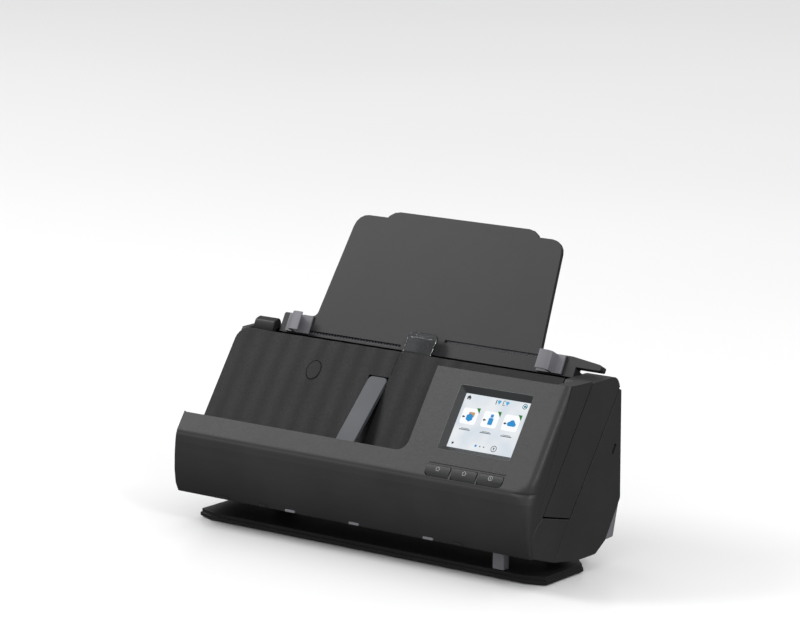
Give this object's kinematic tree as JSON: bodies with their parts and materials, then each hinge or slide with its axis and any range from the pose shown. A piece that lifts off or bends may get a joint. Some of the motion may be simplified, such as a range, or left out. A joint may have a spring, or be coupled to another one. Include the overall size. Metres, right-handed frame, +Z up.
{
  "type": "sheet fed document scanner",
  "caption": "Compact sheet fed document scanner with a raised input tray, sliding paper guides, ribbed output pocket, touch display and a tilting stand.",
  "frame": {"origin": "centre of the bounding box of the whole scanner, with the tray open, on the surface that it stands on", "axes": "+X to the right across the width as seen from the front, +Y from the front face to the rear wall, +Z up"},
  "size_m": [0.296, 0.134, 0.2074],
  "materials": {
    "case_abs": "fine spark-eroded texture, moulded ABS",
    "panel_abs": "fine texture, moulded ABS with shallow ribs",
    "black_abs": "moulded ABS",
    "grey_abs": "moulded ABS",
    "tray_abs": "moulded ABS",
    "bezel_gloss": "polished moulding round the display",
    "display_glass": "lit touch display",
    "key_abs": "moulded keycaps",
    "clear_plastic": "smoked clear moulding",
    "scan_glass": "polished strip",
    "roller_rubber": "ground rubber",
    "shaft_steel": "turned",
    "zinc_plate": "zinc-plated sheet",
    "circuit_board": "solder-masked laminate",
    "white_acetal": "moulded acetal"
  },
  "bodies": {
    "stand": {"stand_plate": "black_abs", "foot_front_left": "roller_rubber", "foot_front_right": "roller_rubber", "foot_rear_left": "roller_rubber", "foot_rear_right": "roller_rubber", "stand_arm_left": "grey_abs", "stand_arm_right": "grey_abs", "tilt_pin_left": "shaft_steel", "tilt_pin_right": "shaft_steel", "front_post": "grey_abs"},
    "casing": {"rear_housing": "case_abs", "bottom_housing": "case_abs", "side_cover_left": "case_abs", "side_cover_right": "case_abs", "chassis": "zinc_plate", "rear_paper_guide": "black_abs", "rear_image_sensor": "black_abs", "rear_scan_glass": "scan_glass", "top_bridge": "black_abs", "feed_motor": "zinc_plate", "drive_belt": "roller_rubber", "main_board": "circuit_board", "dc_jack": "black_abs", "usb_port": "zinc_plate"},
    "feed_rollers": {"feed_shaft": "shaft_steel", "feed_tyre_left": "roller_rubber", "feed_tyre_right": "roller_rubber", "feed_pulley": "white_acetal"},
    "transport_rollers": {"transport_shaft": "shaft_steel", "transport_tyre_left": "roller_rubber", "transport_tyre_right": "roller_rubber", "transport_pulley": "white_acetal"},
    "motor_spindle": {"motor_pulley": "shaft_steel"},
    "cover_lever": {"cover_lever": "black_abs"},
    "position_lever": {"position_lever": "grey_abs"},
    "cover": {"front_cover": "case_abs", "ribbed_panel": "panel_abs", "oval_plug": "case_abs", "display_bezel": "bezel_gloss", "display_screen": "display_glass", "panel_board": "circuit_board", "front_paper_guide": "black_abs", "front_image_sensor": "black_abs", "front_scan_glass": "scan_glass"},
    "power_button": {"power_button": "key_abs"},
    "home_button": {"home_button": "key_abs"},
    "help_button": {"help_button": "key_abs"},
    "output_stopper": {"output_stopper": "clear_plastic"},
    "output_tab": {"output_tab": "clear_plastic"},
    "separation_roller": {"separation_roller": "roller_rubber"},
    "pinch_roller_left": {"pinch_roller_left": "roller_rubber"},
    "pinch_roller_right": {"pinch_roller_right": "roller_rubber"},
    "turn_roller": {"turn_roller": "roller_rubber"},
    "tray": {"input_tray": "tray_abs", "tray_back_cover": "black_abs"},
    "tray_extension": {"tray_extension": "tray_abs"},
    "edge_guide_left": {"edge_guide_left": "tray_abs"},
    "edge_guide_right": {"edge_guide_right": "tray_abs"},
    "guide_pinion": {"guide_pinion": "white_acetal"}
  },
  "joints": [
    {"name": "casing_tilt", "type": "hinge", "parent": "stand", "child": "casing", "pos_m": [0, 0.02103, 0.032], "axis": [1, 0, 0], "range_deg": [-20, 0]},
    {"name": "feed_turn", "type": "hinge", "parent": "casing", "child": "feed_rollers", "pos_m": [0, 0.0071, 0.09316], "axis": [1, 0, 0], "continuous": true},
    {"name": "transport_turn", "type": "hinge", "parent": "casing", "child": "transport_rollers", "pos_m": [0, -0.00541, 0.07265], "axis": [1, 0, 0], "continuous": true},
    {"name": "motor_turn", "type": "hinge", "parent": "casing", "child": "motor_spindle", "pos_m": [0, 0.00903, 0.056], "axis": [1, 0, 0], "continuous": true},
    {"name": "cover_lever_pull", "type": "hinge", "parent": "casing", "child": "cover_lever", "pos_m": [0, 0.01303, 0.1122], "axis": [1, 0, 0], "range_deg": [0, 10]},
    {"name": "position_lever_swing", "type": "hinge", "parent": "casing", "child": "position_lever", "pos_m": [0, 0.03613, 0.0392], "axis": [1, 0, 0], "range_deg": [0, 25]},
    {"name": "cover_open", "type": "hinge", "parent": "casing", "child": "cover", "pos_m": [0, -0.04467, 0.0298], "axis": [1, 0, 0], "range_deg": [0, 40]},
    {"name": "power_press", "type": "slide", "parent": "cover", "child": "power_button", "axis": [0, 0.8192, -0.5736], "range_m": [0, 0.0008], "stiffness_N_per_m": 300},
    {"name": "home_press", "type": "slide", "parent": "cover", "child": "home_button", "axis": [0, 0.8192, -0.5736], "range_m": [0, 0.0008], "stiffness_N_per_m": 300},
    {"name": "help_press", "type": "slide", "parent": "cover", "child": "help_button", "axis": [0, 0.8192, -0.5736], "range_m": [0, 0.0008], "stiffness_N_per_m": 300},
    {"name": "stopper_fold", "type": "hinge", "parent": "cover", "child": "output_stopper", "pos_m": [0, -0.00723, 0.10771], "axis": [1, 0, 0], "range_deg": [0, 10.6]},
    {"name": "tab_slide", "type": "slide", "parent": "cover", "child": "output_tab", "axis": [0, 0.5736, 0.8192], "range_m": [-0.014, 0]},
    {"name": "separation_turn", "type": "hinge", "parent": "cover", "child": "separation_roller", "pos_m": [0, -0.00479, 0.09975], "axis": [1, 0, 0], "continuous": true},
    {"name": "pinch_left_turn", "type": "hinge", "parent": "cover", "child": "pinch_roller_left", "pos_m": [0, -0.0159, 0.07847], "axis": [1, 0, 0], "continuous": true},
    {"name": "pinch_right_turn", "type": "hinge", "parent": "cover", "child": "pinch_roller_right", "pos_m": [0, -0.0159, 0.07847], "axis": [1, 0, 0], "continuous": true},
    {"name": "turn_roller_turn", "type": "hinge", "parent": "cover", "child": "turn_roller", "pos_m": [0, -0.04297, 0.04202], "axis": [1, 0, 0], "continuous": true},
    {"name": "tray_fold", "type": "hinge", "parent": "casing", "child": "tray", "pos_m": [0, 0.03103, 0.119], "axis": [1, 0, 0], "range_deg": [-151, 0]},
    {"name": "extension_slide", "type": "slide", "parent": "tray", "child": "tray_extension", "axis": [0, 0.4848, 0.8746], "range_m": [0, 0.065]},
    {"name": "left_guide_slide", "type": "slide", "parent": "tray", "child": "edge_guide_left", "axis": [1, 0, 0], "range_m": [0, 0.078]},
    {"name": "right_guide_slide", "type": "slide", "parent": "tray", "child": "edge_guide_right", "axis": [-1, 0, 0], "range_m": [0, 0.078]},
    {"name": "guide_pinion_turn", "type": "hinge", "parent": "tray", "child": "guide_pinion", "pos_m": [0, 0.02402, 0.12677], "axis": [0, -0.8746, 0.4848], "range_deg": [0, 1400]}
  ],
  "couplings": [
    {"joint": "transport_turn", "follows": "feed_turn", "ratio": 1},
    {"joint": "motor_turn", "follows": "feed_turn", "ratio": 1.4},
    {"joint": "right_guide_slide", "follows": "left_guide_slide", "ratio": 1},
    {"joint": "guide_pinion_turn", "follows": "left_guide_slide", "rad_per_m": 312.5}
  ]
}
